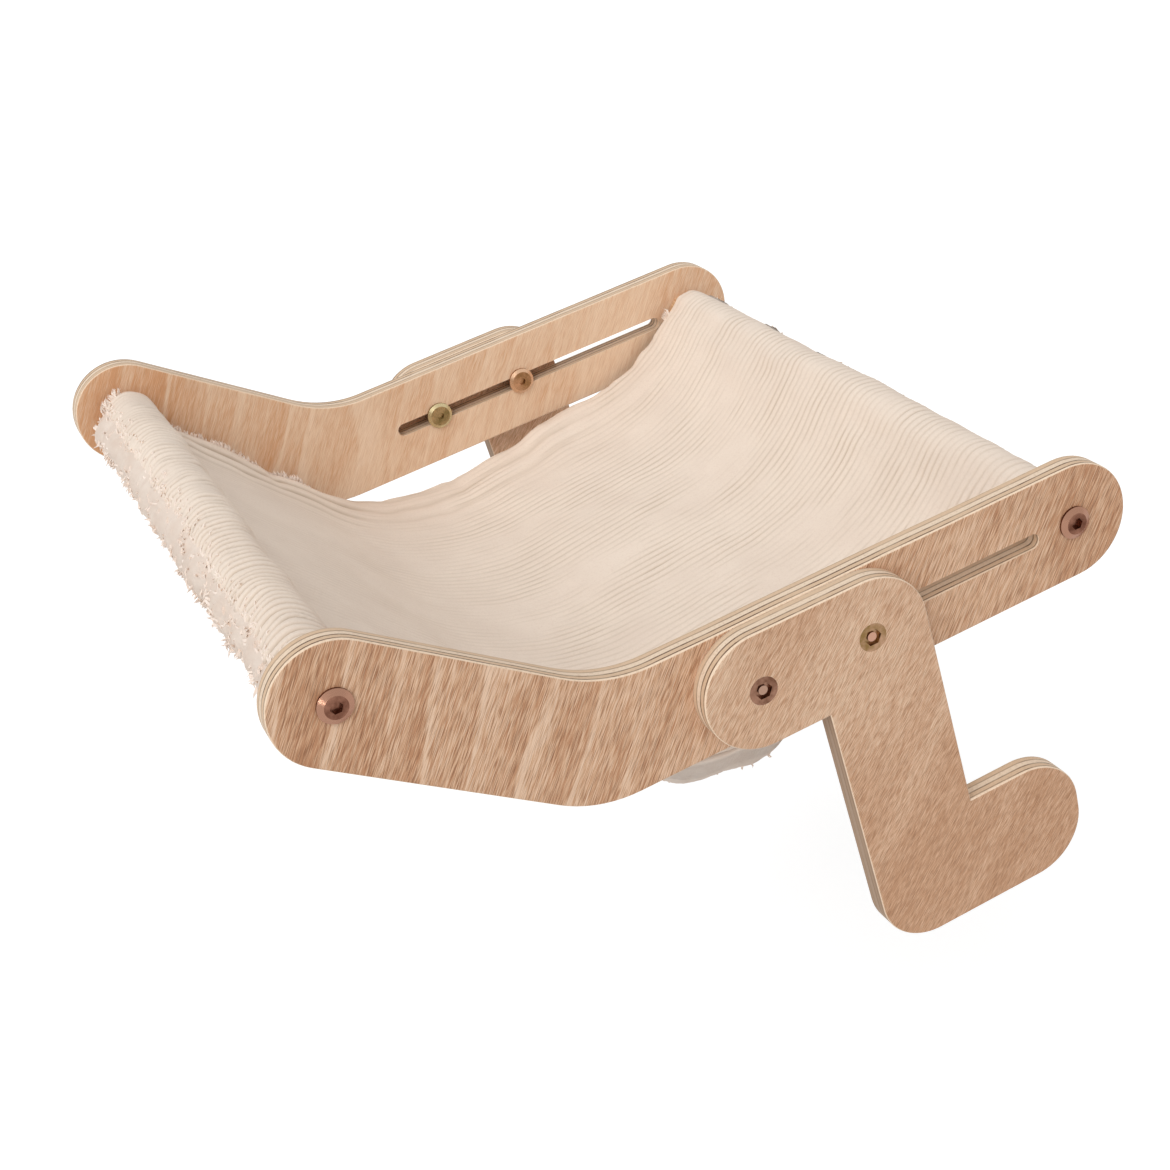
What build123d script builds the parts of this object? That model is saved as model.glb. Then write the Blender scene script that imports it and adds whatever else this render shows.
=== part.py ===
"""Cat hammock for a window sill: two bent plywood side boards joined by two dowels, a two-layer
cloth seat hung between the dowels, and a plywood hook sliding in a slot on each board.

Millimetres. +X points to the window side, +Y to the left and +Z up. The origin is the corner of the
sill on the middle plane: the boards' straight undersides lie at z = 0 on top of the sill, and the
hook legs' edges against the sill start at x = 0. Every paired piece is made on the right-hand side,
at -Y, and mirrored to the left.
"""

import os
from itertools import pairwise
from math import acos, atan2, cos, degrees, radians, sin, tan

from build123d import *

os.makedirs("parts", exist_ok=True)

# Side boards, 12 mm plywood
overall_width = 400.0
board_thickness = 12.0
board_height = 56.0
rear_run = 243.0
front_run = 124.0
front_rise_angle = 37.3
top_bend_radius = 66.0
bottom_bend_radius = 61.0
board_edge_round = 1.0

# Slot for the hook bolts
slot_width = 7.5
slot_run = 171.5
slot_inset = 22.8

# Sill hooks, 12 mm plywood
hook_thickness = 12.0
hook_head_height = 56.0
hook_edge_round = 1.0
rear_rod_reach = 87.8
bolt_spacing = 55.2
leg_width = 56.5
leg_lean_angle = 2.3
sill_gap = 80.0
toe_height = 61.8
toe_reach = 61.0
toe_round = 27.5

# Dowels and the threaded inserts in their ends
rod_diameter = 22.0
insert_diameter = 10.0
insert_length = 15.0
insert_fit = 0.02
pilot_spare_depth = 3.0

# Flanged screws through the boards into the dowels
rod_screw_diameter = 6.0
rod_screw_length = 35.0
rod_screw_head_diameter = 15.5
rod_screw_head_height = 2.6
rod_screw_bevel_width = 2.6
rod_screw_bevel_height = 1.5
rod_screw_socket = 5.0
rod_screw_socket_depth = 2.2
screw_hole_clearance = 0.2
thread_fit = 0.02

# Countersunk bolts through the hooks
hook_bolt_diameter = 5.0
hook_bolt_length = 20.0
hook_bolt_head_diameter = 13.5
hook_bolt_socket = 7.2
hook_bolt_socket_depth = 2.0
hook_bolt_pin_diameter = 4.4
hook_bolt_pin_drop = 0.7
countersink_angle = 90.0
countersink_fit = 0.05

# Sleeve nuts that run in the slots
sleeve_diameter = 7.0
sleeve_end_gap = 1.0
sleeve_flange_diameter = 15.4
sleeve_flange_height = 2.4
sleeve_bevel_width = 1.8
sleeve_bevel_height = 1.1
sleeve_socket = 4.0
sleeve_socket_depth = 1.6
sleeve_bore_spare_depth = 1.5

# Cloth seat: ribbed upper cloth and fleece lining
cloth_thickness = 3.5
lining_thickness = 5.0
lining_roll_thickness = 9.0
cloth_rod_slack = 0.3
cloth_layer_gap = 0.2
cloth_side_gap = 5.0
front_stitch_reach = 19.0
crease_round = 5.0
seat_front_sag = 51.0
seat_rear_sag = 33.5
seat_middle_extra_sag = 4.0
seat_front_round = 114.0
seat_rear_round = 104.0
lining_droop = 4.5
lining_fold_shift = 11.0
lining_front_round = 40.0
front_seam_angle = 165.0
rear_seam_angle = 10.0
seat_front_share = 0.339
seat_rear_share = 0.85

# How far a cut runs past the faces it opens
cut_overrun = 2.0

# Heights and lines that several pieces share
half_width = overall_width / 2
inner_half_width = half_width - board_thickness
hook_face = half_width + hook_thickness
rod_radius = rod_diameter / 2
axis_z = board_height / 2
bend_x = rear_rod_reach - rear_run
rear_axis = Vector(rear_rod_reach, axis_z)
front_axis = Vector(
    bend_x - front_run * cos(radians(front_rise_angle)),
    axis_z + front_run * sin(radians(front_rise_angle)),
)
head_radius = hook_head_height / 2
rear_bolt_x = -head_radius
front_bolt_x = rear_bolt_x - bolt_spacing

sleeve_radius = rod_radius + cloth_rod_slack
cloth_half_width = inner_half_width - cloth_side_gap

# Solids that grow outward from their plane, or inward from it
outward = (Align.CENTER, Align.CENTER, Align.MIN)
inward = (Align.CENTER, Align.CENTER, Align.MAX)

# Planes whose sketches read X to the right and Z up, and whose normal points outward on the right side
inner_board_plane = Plane.XZ.offset(inner_half_width)
outer_board_plane = Plane.XZ.offset(half_width)
hook_plane = Plane.XZ.offset(hook_face)


def write(piece, name):
    """Label a finished piece and write it to its own file."""
    piece.label = name
    export_step(piece, f"parts/{name}.step")


def write_both_sides(piece, name):
    """Write a right-hand piece, and its mirror image on the left-hand side."""
    write(piece.part, f"right_{name}")
    with BuildPart() as mirrored:
        mirror(piece.part, about=Plane.XZ)
    write(mirrored.part, f"left_{name}")


def rim_edges(builder):
    """The edges round the outline of a flat board's two faces."""
    faces = builder.faces().sort_by(Axis.Y)
    return faces[0].outer_wire().edges() + faces[-1].outer_wire().edges()


def side_board():
    """Bent side board: two straight runs of one height with round ends, a hole for each rod screw
    and a slot along the rear run."""
    slant = radians(front_rise_angle)
    run = Vector(-cos(slant), sin(slant))
    across = Vector(sin(slant), cos(slant)) * axis_z
    corner_shift = axis_z * tan(slant / 2)
    top_corner = (bend_x + corner_shift, board_height)
    bottom_corner = (bend_x - corner_shift, 0)
    with BuildPart() as board:
        with BuildSketch(inner_board_plane) as outline:
            with BuildLine():
                Polyline((rear_axis.X, 0), bottom_corner, front_axis - across)
                ThreePointArc(front_axis - across, front_axis + run * axis_z, front_axis + across)
                Polyline(front_axis + across, top_corner, (rear_axis.X, board_height))
                CenterArc(rear_axis, axis_z, -90, 180)
            make_face()
            fillet(outline.vertices().sort_by_distance(top_corner)[0], top_bend_radius)
            fillet(outline.vertices().sort_by_distance(bottom_corner)[0], bottom_bend_radius)
        extrude(amount=board_thickness)
        fillet(rim_edges(board), board_edge_round)
        slot_centre = rear_axis.X - slot_inset - slot_run / 2
        with BuildSketch(inner_board_plane.offset(-cut_overrun)):
            with Locations((slot_centre, axis_z)):
                SlotCenterToCenter(slot_run, slot_width)
            with Locations(rear_axis, front_axis):
                Circle(rod_screw_diameter / 2 + screw_hole_clearance)
        extrude(amount=board_thickness + 2 * cut_overrun, mode=Mode.SUBTRACT)
    return board


def hook_bracket():
    """Sill hook: a head round the two bolts, a leg that leans a little away from the sill and a toe
    that reaches under it, with the bolt holes countersunk from outside."""
    lean = radians(leg_lean_angle)

    def sill_edge_x(z):
        return rear_bolt_x + head_radius / cos(lean) + (axis_z - z) * tan(lean)

    def front_edge_x(z):
        return sill_edge_x(z) - leg_width / cos(lean)

    head_top = axis_z + head_radius
    head_bottom = axis_z - head_radius
    foot_z = -sill_gap - toe_height
    toe_top = (toe_reach, -sill_gap)
    toe_bottom = (toe_reach, foot_z)
    heel = (front_edge_x(foot_z), foot_z)
    with BuildPart() as hook:
        with BuildSketch(outer_board_plane) as outline:
            with BuildLine():
                Line((front_bolt_x, head_top), (rear_bolt_x, head_top))
                back = CenterArc((rear_bolt_x, axis_z), head_radius, leg_lean_angle, 90 - leg_lean_angle)
                Polyline(
                    back @ 0,
                    (sill_edge_x(-sill_gap), -sill_gap),
                    toe_top,
                    toe_bottom,
                    heel,
                    (front_edge_x(head_bottom), head_bottom),
                    (front_bolt_x, head_bottom),
                )
                CenterArc((front_bolt_x, axis_z), head_radius, 90, 180)
            make_face()
            corners = [outline.vertices().sort_by_distance(point)[0] for point in (toe_top, toe_bottom, heel)]
            fillet(corners, toe_round)
        extrude(amount=hook_thickness)
        fillet(rim_edges(hook), hook_edge_round)
        with Locations(hook_plane.location):
            with Locations((front_bolt_x, axis_z), (rear_bolt_x, axis_z)):
                CounterSinkHole(
                    radius=hook_bolt_diameter / 2 + screw_hole_clearance,
                    counter_sink_radius=hook_bolt_head_diameter / 2 + countersink_fit,
                    counter_sink_angle=countersink_angle,
                )
    return hook


def seat_plane(distance, place):
    """Plane square to the pieces' axes, that far out on the right, with its origin at the place."""
    return Plane(origin=(place.X, -distance, place.Y), x_dir=(1, 0, 0), z_dir=(0, -1, 0))


def cut_hex_socket(plane, across_flats, amount):
    """Cut a hexagonal socket from the plane by a signed amount."""
    with BuildSketch(plane) as socket:
        RegularPolygon(across_flats / 2, side_count=6, major_radius=False)
    extrude(socket.sketch, amount=amount, mode=Mode.SUBTRACT)


def dowel(place):
    """Wooden dowel between the boards' inner faces, bored at both ends for an insert and the end
    of its screw."""
    with BuildPart(seat_plane(inner_half_width, place)) as rod:
        Cylinder(rod_radius, inner_half_width, align=inward)
        CounterBoreHole(
            radius=rod_screw_diameter / 2 + screw_hole_clearance,
            counter_bore_radius=insert_diameter / 2 + insert_fit,
            counter_bore_depth=insert_length,
            depth=rod_screw_length - board_thickness + pilot_spare_depth,
        )
        mirror(about=Plane.XZ)
    return rod


def rod_insert(place):
    """Threaded insert, flush with the dowel's end."""
    with BuildPart(seat_plane(inner_half_width, place)) as insert:
        Cylinder(insert_diameter / 2, insert_length, align=inward)
        Hole(rod_screw_diameter / 2 + thread_fit)
    return insert


def rod_screw(place):
    """Screw with a broadly bevelled head on the board's outer face."""
    seat = seat_plane(half_width, place)
    with BuildPart(seat) as screw:
        Cylinder(rod_screw_head_diameter / 2, rod_screw_head_height, align=outward)
        outer_face = screw.faces().sort_by(Axis.Y)[0]
        chamfer(outer_face.edges(), rod_screw_bevel_width, rod_screw_bevel_height, reference=outer_face)
        Cylinder(rod_screw_diameter / 2, rod_screw_length, align=inward)
        cut_hex_socket(seat.offset(rod_screw_head_height), rod_screw_socket, -rod_screw_socket_depth)
    return screw


def hook_bolt(place):
    """Countersunk bolt, flush with the hook's outer face, with a round pin standing in its socket."""
    seat = seat_plane(hook_face, place)
    shank_radius = hook_bolt_diameter / 2
    head_radius_outside = hook_bolt_head_diameter / 2
    cone_height = (head_radius_outside - shank_radius) / tan(radians(countersink_angle / 2))
    with BuildPart(seat) as bolt:
        Cylinder(shank_radius, hook_bolt_length, align=inward)
        Cone(shank_radius, head_radius_outside, cone_height, align=inward)
        cut_hex_socket(seat, hook_bolt_socket, -hook_bolt_socket_depth)
        with Locations((0, 0, -hook_bolt_socket_depth)):
            Cylinder(hook_bolt_pin_diameter / 2, hook_bolt_socket_depth - hook_bolt_pin_drop, align=outward)
    return bolt


def sleeve_nut(place):
    """Sleeve nut: a flange on the board's inner face and a barrel through the slot, bored from its
    outer end for the hook bolt."""
    seat = seat_plane(inner_half_width, place)
    barrel_length = board_thickness - sleeve_end_gap
    barrel_reach = inner_half_width + barrel_length
    bolt_tip = hook_face - hook_bolt_length
    with BuildPart(seat) as nut:
        Cylinder(sleeve_flange_diameter / 2, sleeve_flange_height, align=inward)
        inner_face = nut.faces().sort_by(Axis.Y)[-1]
        chamfer(inner_face.edges(), sleeve_bevel_width, sleeve_bevel_height, reference=inner_face)
        Cylinder(sleeve_diameter / 2, barrel_length, align=outward)
        with Locations((0, 0, barrel_length)):
            Hole(hook_bolt_diameter / 2 + thread_fit, depth=barrel_reach - bolt_tip + sleeve_bore_spare_depth)
        cut_hex_socket(seat.offset(-sleeve_flange_height), sleeve_socket, sleeve_socket_depth)
    return nut


def touch_point(centre, radius, point, turn):
    """Where a straight line from the point touches a circle, counter-clockwise of the point for
    turn = 1 and clockwise for turn = -1."""
    reach = point - centre
    swing = degrees(acos(radius / reach.length))
    return centre + reach.normalized().rotate(Axis.Z, turn * swing) * radius


def shifted(corners, shift):
    """The corners of a chain of straight runs moved sideways, to the left of its travel for a
    positive shift."""
    sides = [(end - start).normalized().rotate(Axis.Z, 90) for start, end in pairwise(corners)]
    inner = [
        corner + (before + after) * (shift / (1 + before.dot(after)))
        for corner, before, after in zip(corners[1:], sides, sides[1:])
    ]
    return [corners[0] + sides[0] * shift, *inner, corners[-1] + sides[-1] * shift]


def wrap(centre, rim_point, seam_angle, turn):
    """Two equal arcs round a dowel, from a point of the cloth's surface to the seam. Returns the
    end at the seam."""
    start = degrees(atan2(rim_point.Y - centre.Y, rim_point.X - centre.X))
    sweep = turn * ((turn * (seam_angle - start)) % 360)
    radius = (rim_point - centre).length
    CenterArc(centre, radius, start, sweep / 2)
    return CenterArc(centre, radius, start + sweep / 2, sweep / 2) @ 1


def layer_outline(surfaces, front_turn, rear_turn):
    """Closed outline of one cloth layer, drawn from its two surfaces, each given by its corners and
    their radii and carried on round both dowels to the seams."""
    seams = []
    for corners, rounds in surfaces:
        FilletPolyline(*corners, radius=rounds)
        front_end = wrap(front_axis, corners[0], front_seam_angle, front_turn)
        rear_end = wrap(rear_axis, corners[-1], rear_seam_angle, rear_turn)
        seams.append((front_end, rear_end))
    for first, second in zip(*seams):
        Line(first, second)


def seat_corners(extra_sag):
    """The line between the two layers: the stitched crease behind the front dowel and the two
    rounded corners of the sagging seat."""
    span = rear_axis.X - front_axis.X
    front_corner = Vector(front_axis.X + span * seat_front_share, axis_z - seat_front_sag - extra_sag)
    rear_corner = Vector(front_axis.X + span * seat_rear_share, axis_z - seat_rear_sag - extra_sag)
    stitch = front_axis + (front_corner - front_axis).normalized() * front_stitch_reach
    return [stitch, front_corner, rear_corner]


def cloth_layer(surfaces_at, front_turn, rear_turn):
    """Loft one layer across the seat, deepest on the middle plane."""
    with BuildPart() as layer:
        for offset_y, extra_sag in (
            (-cloth_half_width, 0),
            (0, seat_middle_extra_sag),
            (cloth_half_width, 0),
        ):
            with BuildSketch(Plane.XZ.offset(offset_y)):
                with BuildLine():
                    layer_outline(surfaces_at(extra_sag), front_turn, rear_turn)
                make_face()
        loft()
    return layer


def upper_cloth_surfaces(extra_sag):
    """Under and upper surface of the ribbed cloth, which goes over both dowels."""
    corners = seat_corners(extra_sag)
    front_touch = touch_point(front_axis, sleeve_radius, corners[0], 1)
    rear_touch = touch_point(rear_axis, sleeve_radius, corners[-1], -1)
    surfaces = []
    for shift in (cloth_layer_gap / 2, cloth_layer_gap / 2 + cloth_thickness):
        rounds = [crease_round - shift, seat_front_round - shift, seat_rear_round - shift]
        surfaces.append((shifted([front_touch, *corners, rear_touch], shift), rounds))
    return surfaces


def lining_surfaces(extra_sag):
    """Upper and under surface of the fleece lining, which goes under both dowels, is thickest round
    the front one and droops below the ribbed cloth in a fold."""
    corners = seat_corners(extra_sag)
    front_touch = touch_point(front_axis, sleeve_radius, corners[0], -1)
    rear_touch = touch_point(rear_axis, sleeve_radius, corners[-1], 1)
    half_gap = cloth_layer_gap / 2
    upper = shifted([front_touch, *corners, rear_touch], -half_gap)
    upper_rounds = [crease_round + lining_roll_thickness, seat_front_round, seat_rear_round]

    under = shifted([front_touch, *corners, rear_touch], -half_gap - lining_thickness)[1:-1]
    under[0] += (corners[1] - corners[0]).normalized() * lining_roll_thickness
    under[1] += Vector(lining_fold_shift, -lining_droop)
    roll_radius = sleeve_radius + half_gap + lining_roll_thickness
    rear_radius = sleeve_radius + half_gap + lining_thickness
    under.insert(0, touch_point(front_axis, roll_radius, under[0], -1))
    under.append(touch_point(rear_axis, rear_radius, under[-1], 1))
    under_rounds = [crease_round, lining_front_round, seat_rear_round]
    return [(upper, upper_rounds), (under, under_rounds)]


for name, place in (("front", front_axis), ("rear", rear_axis)):
    write(dowel(place).part, f"{name}_rod")
    write_both_sides(rod_insert(place), f"{name}_rod_insert")
    write_both_sides(rod_screw(place), f"{name}_rod_screw")

for name, bolt_x in (("front", front_bolt_x), ("rear", rear_bolt_x)):
    place = Vector(bolt_x, axis_z)
    write_both_sides(hook_bolt(place), f"{name}_hook_bolt")
    write_both_sides(sleeve_nut(place), f"{name}_sleeve_nut")

write_both_sides(side_board(), "side_board")
write_both_sides(hook_bracket(), "hook_bracket")
write(cloth_layer(upper_cloth_surfaces, 1, -1).part, "ribbed_seat_cloth")
write(cloth_layer(lining_surfaces, -1, 1).part, "fleece_lining")
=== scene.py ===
from itertools import product

import bpy
import numpy as np
from mathutils import Matrix, Vector


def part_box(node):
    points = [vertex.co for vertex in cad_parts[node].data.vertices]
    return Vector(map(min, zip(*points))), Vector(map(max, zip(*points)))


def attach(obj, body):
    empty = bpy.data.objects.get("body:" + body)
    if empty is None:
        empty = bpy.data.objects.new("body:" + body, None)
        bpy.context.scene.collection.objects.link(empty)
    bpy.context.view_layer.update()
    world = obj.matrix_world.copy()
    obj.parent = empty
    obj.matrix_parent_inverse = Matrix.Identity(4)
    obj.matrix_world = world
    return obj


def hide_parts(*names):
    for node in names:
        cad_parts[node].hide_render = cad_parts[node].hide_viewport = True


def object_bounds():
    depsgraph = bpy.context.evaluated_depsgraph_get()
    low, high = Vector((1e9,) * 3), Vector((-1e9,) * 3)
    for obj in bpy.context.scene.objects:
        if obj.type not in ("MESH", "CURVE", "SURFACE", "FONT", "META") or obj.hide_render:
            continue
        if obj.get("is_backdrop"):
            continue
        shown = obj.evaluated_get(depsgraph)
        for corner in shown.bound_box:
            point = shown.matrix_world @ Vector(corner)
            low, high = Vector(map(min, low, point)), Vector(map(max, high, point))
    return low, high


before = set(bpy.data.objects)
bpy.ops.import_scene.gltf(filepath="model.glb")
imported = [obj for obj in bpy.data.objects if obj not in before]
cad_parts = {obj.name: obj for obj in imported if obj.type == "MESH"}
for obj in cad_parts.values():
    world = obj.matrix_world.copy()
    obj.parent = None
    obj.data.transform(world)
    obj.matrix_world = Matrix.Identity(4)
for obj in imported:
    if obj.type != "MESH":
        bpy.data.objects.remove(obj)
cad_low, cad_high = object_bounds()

# Camera: stands in front of the right-hand board and above the seat, and looks down on the hammock
# with a 58 mm lens. The picture is level with the horizon of a hammock that leans forward a little.
camera_place = (-0.335777, -0.838644, 0.479190)
camera_right = (0.87905361, -0.40910133, -0.2447465)
camera_down = (-0.40438681, -0.36801877, -0.83727743)
camera_ahead = (0.25246001, 0.83498401, -0.48894341)

camera_data = bpy.data.cameras.new("camera")
camera_data.sensor_width = 36.0
camera_data.lens = 58.447
camera = bpy.data.objects.new("camera", camera_data)
camera.matrix_world = Matrix([
    (right, -down, -ahead, place)
    for right, down, ahead, place in zip(camera_right, camera_down, camera_ahead, camera_place)
] + [(0, 0, 0, 1)])
bpy.context.scene.collection.objects.link(camera)
bpy.context.scene.camera = camera


# Side boards: bent outlines sawn from 12 mm plywood with pinkish face veneer whose grain runs
# slantwise. The sawn edges show pale and brown plies and thin glue lines; the surface is only sanded.


def linear(hex_colour):
    """An sRGB hex colour as linear red, green, blue and alpha."""
    shares = np.array([int(hex_colour[i : i + 2], 16) for i in (1, 3, 5)]) / 255
    return (*np.where(shares <= 0.04045, shares / 12.92, ((shares + 0.055) / 1.055) ** 2.4), 1.0)


def node(owner, kind, inputs={}, stops=None, **settings):
    """Add a shader node. Inputs are values, sockets, or nodes whose first working output feeds them;
    stops are a ramp's positions and hex colours."""
    tree = owner.node_tree
    added = tree.nodes.new("ShaderNode" + kind)
    for name, value in settings.items():
        setattr(added, name, value)
    if stops:
        ramp = added.color_ramp
        while len(ramp.elements) < len(stops):
            ramp.elements.new(0.5)
        for element, (position, colour) in zip(ramp.elements, sorted(stops)):
            element.position = position
            element.color = linear(colour)
    feed(owner, added, inputs)
    return added


def feed(owner, target, inputs):
    """Set a node's inputs to values, or link them to sockets or to other nodes' first output."""
    for name, value in inputs.items():
        socket = (
            target.inputs[name]
            if isinstance(name, int)
            else next(s for s in target.inputs if s.name == name and s.enabled)
        )
        if isinstance(value, bpy.types.Node):
            value = next(s for s in value.outputs if s.enabled)
        if isinstance(value, bpy.types.NodeSocket):
            owner.node_tree.links.new(value, socket)
        else:
            socket.default_value = value


def new_material(name):
    """An empty material and its Principled shader."""
    material = bpy.data.materials.new(name)
    material.use_nodes = True
    material.node_tree.nodes.clear()
    shader = node(material, "BsdfPrincipled")
    node(material, "OutputMaterial", {"Surface": shader})
    return material, shader


def plywood(
    name, inner_y, thickness, grain, figure, band, band_place, band_share, wander, streak_share, calm,
    stroke, stroke_share, darker, leg_edge_shade, colours,
):
    """Sanded plywood. Faces: veneer with narrow pale growth bands and long streaks along the figure,
    livelier towards the front end, darkenings that grow along an axis from one place to another, and
    short pale and dark strokes and open pores along the grain. Edges: plies read over the depth from
    the inner face, with glue lines that fade in and out. Shares are strengths, wander is how far the
    bands stray, in bands, and calm how much of the figure is left behind the bend. Colours are the
    pale, middle, dark and pore ones."""
    material, shader = new_material(name)
    place = node(material, "TexCoord")
    coords = place.outputs["Object"]
    pale, middle, dark, pore_colour = colours

    # Sizes along, into and across the veneer. Real strokes and pores are 0.1 mm wide and too fine for
    # the picture, so they are drawn 0.3 mm wide
    veneer = {}
    for label, angle, size, detail, distortion, shift in (
        ("warp", figure, (0.150, 0.060, 0.026), 2.0, 0.0, (0, 0, 0)),
        ("broad", figure, (0.090, 0.040, 0.024), 3.0, 0.3, (0, 0, 0)),
        ("streaks", figure, (0.036, 0.020, 0.0021), 2.0, 0.3, (0, 0, 0)),
        ("strokes", grain, stroke, 1.0, 0.0, (0, 0, 0)),
        ("pores", grain, stroke, 0.0, 0.0, (0.31, 0.0, 0.17)),
    ):
        sized = node(material, "Mapping", {
            "Vector": coords, "Rotation": (0, -angle, 0), "Scale": size, "Location": shift,
        }, vector_type="TEXTURE")
        veneer[label] = node(material, "TexNoise", {
            "Vector": sized, "Scale": 1.0, "Detail": detail, "Roughness": 0.55, "Distortion": distortion,
        })
    band_coords = node(material, "Mapping", {
        "Vector": coords, "Location": band_place, "Rotation": (0, -figure, 0), "Scale": (1, 1, band),
    }, vector_type="TEXTURE")
    growth = node(material, "Math", {
        0: node(material, "MapRange", {"Value": veneer["warp"], "To Min": -wander, "To Max": wander}),
        1: node(material, "SeparateXYZ", {"Vector": band_coords}).outputs["Z"],
    }, operation="SUBTRACT")
    growth = node(material, "Math", {0: growth}, operation="FRACT")
    growth = node(material, "ValToRGB", {"Fac": growth}, stops=[
        (0.0, "#F0F0F0"), (0.10, "#000000"), (0.16, "#000000"), (0.24, "#C8C8C8"), (0.9, "#FFFFFF"),
        (1.0, "#F0F0F0"),
    ])
    position = node(material, "SeparateXYZ", {"Vector": coords})
    bend_rear, bend_front = -0.12, -0.18
    lively = node(material, "MapRange", {
        "Value": position.outputs["X"], "From Min": bend_rear, "From Max": bend_front, "To Min": calm,
        "To Max": 1.0,
    })
    tone = node(material, "Math", {
        0: node(material, "MapRange", {
            "Value": growth, "To Min": -0.8 * band_share, "To Max": 0.2 * band_share,
        }),
        1: node(material, "MapRange", {
            "Value": veneer["broad"], "From Min": 0.35, "From Max": 0.65, "To Min": 0.3, "To Max": 1.5,
        }),
    }, operation="MULTIPLY")
    tone = node(material, "Math", {
        0: tone, 1: node(material, "MapRange", {
            "Value": veneer["streaks"], "To Min": -streak_share, "To Max": streak_share,
        }),
    }, operation="ADD")
    tone = node(material, "Math", {0: tone, 1: lively}, operation="MULTIPLY")
    added_tones = [
        node(material, "MapRange", {
            "Value": position.outputs[axis], "From Min": dark_from, "From Max": dark_to, "To Max": amount,
        })
        for axis, dark_from, dark_to, amount in darker
    ] + [
        node(material, "MapRange", {"Value": veneer["broad"], "To Min": 0.29, "To Max": 0.79}),
        node(material, "MapRange", {
            "Value": veneer["strokes"], "From Min": 0.36, "From Max": 0.64, "To Min": -stroke_share,
            "To Max": stroke_share,
        }),
    ]
    for added in added_tones:
        tone = node(material, "Math", {0: tone, 1: added}, operation="ADD")
    face = node(material, "ValToRGB", {"Fac": tone}, stops=[(0.1, pale), (0.5, middle), (0.9, dark)])
    pore_share = 2.4 * stroke_share
    pore_lines = node(material, "Math", {
        0: node(material, "MapRange", {
            "Value": veneer["pores"], "From Min": 0.56, "From Max": 0.70, "To Max": pore_share,
        }),
        1: node(material, "MapRange", {"Value": tone, "To Min": 0.3, "To Max": 1.0}),
    }, operation="MULTIPLY")
    face = node(material, "Mix", {
        "Factor": pore_lines, "A": face, "B": linear(pore_colour),
    }, data_type="RGBA")

    # Edge: depth into the board from its inner face, a little wavy, as plies with glue lines between.
    # The outer plies next to both faces are paler: partly the face plies themselves, partly a painted
    # highlight where the rounded edges turn
    ply_wave, wave_size, fade_size, fleck_size = 0.0006, 0.030, 0.022, 0.0011
    cream, tan, highlit_outer_ply = "#EBD5BD", "#DABD9F", "#F1D9BF"
    glue_brown, fleck_tan, leg_shade_brown = "#573922", "#C2A180", "#957860"
    depth = node(material, "Math", {
        0: node(material, "SeparateXYZ", {"Vector": coords}).outputs["Y"],
    }, operation="ABSOLUTE")
    wave = node(material, "TexNoise", {"Vector": coords, "Scale": 1 / wave_size, "Detail": 2.0})
    depth = node(material, "Math", {
        0: depth, 1: node(material, "MapRange", {"Value": wave, "To Min": -ply_wave, "To Max": ply_wave}),
    }, operation="ADD")
    depth = node(material, "MapRange", {
        "Value": depth, "From Min": inner_y, "From Max": inner_y + thickness,
    })
    plies = node(material, "ValToRGB", {"Fac": depth}, stops=[
        (0.00, highlit_outer_ply), (0.07, highlit_outer_ply), (0.09, tan), (0.32, tan), (0.34, cream), (0.60, cream),
        (0.62, tan), (0.87, tan), (0.89, highlit_outer_ply), (1.00, highlit_outer_ply),
    ])
    glue_half, glue_reach = 0.020, 0.045
    glue_stops = [(0.0, "#000000"), (1.0, "#000000")]
    for centre, strength in ((0.08, "#999999"), (0.32, "#CCCCCC"), (0.61, "#FFFFFF"), (0.87, "#FFFFFF")):
        glue_stops += [
            (centre - glue_reach, "#000000"), (centre - glue_half, strength),
            (centre + glue_half, strength), (centre + glue_reach, "#000000"),
        ]
    fade = node(material, "TexNoise", {
        "Vector": coords, "Scale": 1 / fade_size, "Detail": 3.0, "Roughness": 0.7,
    })
    glue = node(material, "Math", {
        0: node(material, "ValToRGB", {"Fac": depth}, stops=glue_stops),
        1: node(material, "MapRange", {
            "Value": fade, "From Min": 0.36, "From Max": 0.58, "To Min": 0.5, "To Max": 1.0,
        }),
    }, operation="MULTIPLY")
    edge = node(material, "Mix", {"Factor": glue, "A": plies, "B": linear(glue_brown)}, data_type="RGBA")
    flecks = node(material, "TexNoise", {"Vector": coords, "Scale": 1 / fleck_size, "Detail": 2.0})
    flecks = node(material, "MapRange", {"Value": flecks, "From Min": 0.5, "From Max": 0.8, "To Max": 0.5})
    edge = node(material, "Mix", {"Factor": flecks, "A": edge, "B": linear(fleck_tan)}, data_type="RGBA")

    # Painted shade: below the boards, the edges along the hooks' legs are coloured browner, standing in
    # for the shade that falls on them under the hooks' heads
    head_foot, leg_top = 0.004, -0.002
    normal = node(material, "SeparateXYZ", {"Vector": place.outputs["Normal"]})
    painted_leg_shade = node(material, "Math", {
        0: node(material, "MapRange", {
            "Value": node(material, "Math", {0: normal.outputs["X"]}, operation="ABSOLUTE"),
            "From Min": 0.85, "From Max": 0.97, "To Max": leg_edge_shade,
        }),
        1: node(material, "MapRange", {
            "Value": position.outputs["Z"], "From Min": head_foot, "From Max": leg_top,
        }),
    }, operation="MULTIPLY")
    edge = node(material, "Mix", {"Factor": painted_leg_shade, "A": edge, "B": linear(leg_shade_brown)}, data_type="RGBA")

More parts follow.
